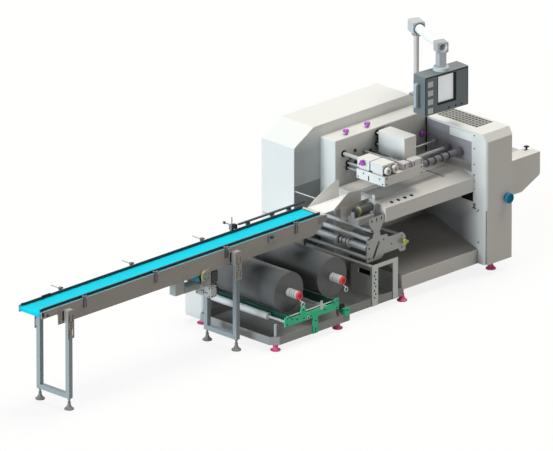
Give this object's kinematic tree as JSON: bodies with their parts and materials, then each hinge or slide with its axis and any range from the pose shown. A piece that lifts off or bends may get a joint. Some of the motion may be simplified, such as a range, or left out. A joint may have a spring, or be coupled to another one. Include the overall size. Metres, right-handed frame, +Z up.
{
  "type": "flow wrap machine",
  "caption": "Horizontal flow wrap machine: belt infeed, film reels below, forming box, sealing table, end sealing cabinet, operator panel on an arm.",
  "frame": {"origin": "on the floor, under the middle of the whole machine's box", "axes": "+X with the product from infeed to discharge, +Y to the back of the machine, +Z up"},
  "size_m": [5.3749, 1.2875, 1.96],
  "materials": {
    "grey_paint": "satin warm grey powder coat",
    "cyan_belt": "smooth cyan conveyor belt",
    "steel_sheet": "brushed stainless sheet",
    "steel_bar": "ground steel bar",
    "dark_rail": "black guide rail",
    "grey_foot": "moulded grey foot",
    "cast_alloy": "cast alloy, painted light grey",
    "magenta_foot": "moulded magenta foot",
    "white_paint": "smooth white powder coat",
    "dark_film": "tightly wound dark film",
    "green_paint": "green powder coat",
    "white_roller": "pale roller sleeve",
    "alloy_roller": "turned alloy roller",
    "bright_sheet": "bright brushed sheet",
    "grille_steel": "perforated grey sheet",
    "tinted_guard": "tinted guard panel",
    "blue_knob": "blue moulded hand wheel",
    "purple_knob": "purple moulded knob",
    "pale_belt": "pale discharge belt",
    "white_tube": "white painted tube",
    "panel_paint": "dark grey-green paint",
    "grey_button": "moulded grey button",
    "screen": "pale blank screen"
  },
  "bodies": {
    "frame": {"conveyor_side_plates": "grey_paint", "conveyor_belt": "cyan_belt", "slider_bed": "steel_sheet", "belt_rollers": "steel_bar", "guide_rails": "dark_rail", "rail_brackets": "steel_sheet", "rail_rods": "steel_bar", "belt_tensioner": "steel_sheet", "leg_frames": "grey_paint", "leg_brackets": "grey_paint", "conveyor_feet": "grey_foot", "drive_bracket": "grey_paint", "drive_gearmotor": "cast_alloy", "base_tray": "grey_paint", "levelling_feet": "magenta_foot", "unwind_housing": "white_paint", "mandrel_bearings": "cast_alloy", "splice_frame": "green_paint", "splice_rods": "steel_bar", "roller_shafts": "steel_bar", "film_plate_front": "steel_sheet", "film_plate_back": "steel_sheet", "post_frame": "steel_sheet", "forming_box": "bright_sheet", "film_drive_box": "steel_sheet", "plinth": "white_paint", "sealing_table": "white_paint", "inner_housing": "white_paint", "rear_cover": "white_paint", "cabinet_base": "white_paint", "cabinet_hood": "white_paint", "cabinet_grille": "grille_steel", "tunnel_guard": "tinted_guard", "clamp_knobs": "purple_knob", "discharge_frame": "white_paint", "discharge_belt": "pale_belt", "seal_unit_housing": "white_paint", "seal_unit_shafts": "steel_bar", "seal_unit_boxes": "white_paint", "cover_box": "white_paint", "clamp_blocks": "cast_alloy", "hooked_rod": "steel_bar", "panel_pole": "grey_paint", "panel_elbow": "cast_alloy", "panel_arm": "white_tube", "panel_coupling": "cast_alloy"},
    "reel_1": {"film_roll_1": "dark_film", "mandrel_1": "steel_bar"},
    "reel_2": {"film_roll_2": "dark_film", "mandrel_2": "steel_bar"},
    "low_roller": {"low_roller": "white_roller"},
    "film_roller_1": {"film_roller_1": "alloy_roller"},
    "film_roller_2": {"film_roller_2": "alloy_roller"},
    "film_roller_3": {"film_roller_3": "alloy_roller"},
    "film_roller_4": {"film_roller_4": "alloy_roller"},
    "handwheel": {"handwheel": "blue_knob"},
    "panel": {"panel_case": "panel_paint", "panel_screen": "screen", "panel_buttons": "grey_button", "panel_handles": "cast_alloy"}
  },
  "joints": [
    {"name": "reel_1_spin", "type": "hinge", "parent": "frame", "child": "reel_1", "pos_m": [-0.1215, -0.15025, 0.425], "axis": [0, 1, 0], "continuous": true},
    {"name": "reel_2_spin", "type": "hinge", "parent": "frame", "child": "reel_2", "pos_m": [0.3705, -0.15025, 0.425], "axis": [0, 1, 0], "continuous": true},
    {"name": "low_roller_spin", "type": "hinge", "parent": "frame", "child": "low_roller", "pos_m": [-0.2555, -0.15025, 0.23], "axis": [0, 1, 0], "continuous": true},
    {"name": "film_roller_1_spin", "type": "hinge", "parent": "frame", "child": "film_roller_1", "pos_m": [0.8485, -0.15025, 0.437], "axis": [0, 1, 0], "continuous": true},
    {"name": "film_roller_2_spin", "type": "hinge", "parent": "frame", "child": "film_roller_2", "pos_m": [0.8485, -0.15025, 0.523], "axis": [0, 1, 0], "continuous": true},
    {"name": "film_roller_3_spin", "type": "hinge", "parent": "frame", "child": "film_roller_3", "pos_m": [0.8485, -0.15025, 0.6], "axis": [0, 1, 0], "continuous": true},
    {"name": "film_roller_4_spin", "type": "hinge", "parent": "frame", "child": "film_roller_4", "pos_m": [0.8845, -0.15025, 0.662], "axis": [0, 1, 0], "continuous": true},
    {"name": "handwheel_spin", "type": "hinge", "parent": "frame", "child": "handwheel", "pos_m": [2.2815, -0.56425, 0.625], "axis": [0, 1, 0], "continuous": true},
    {"name": "panel_swivel", "type": "hinge", "parent": "frame", "child": "panel", "pos_m": [1.9265, -0.16825, 1.72], "axis": [0, 0, 1], "range_deg": [-90, 90]}
  ]
}
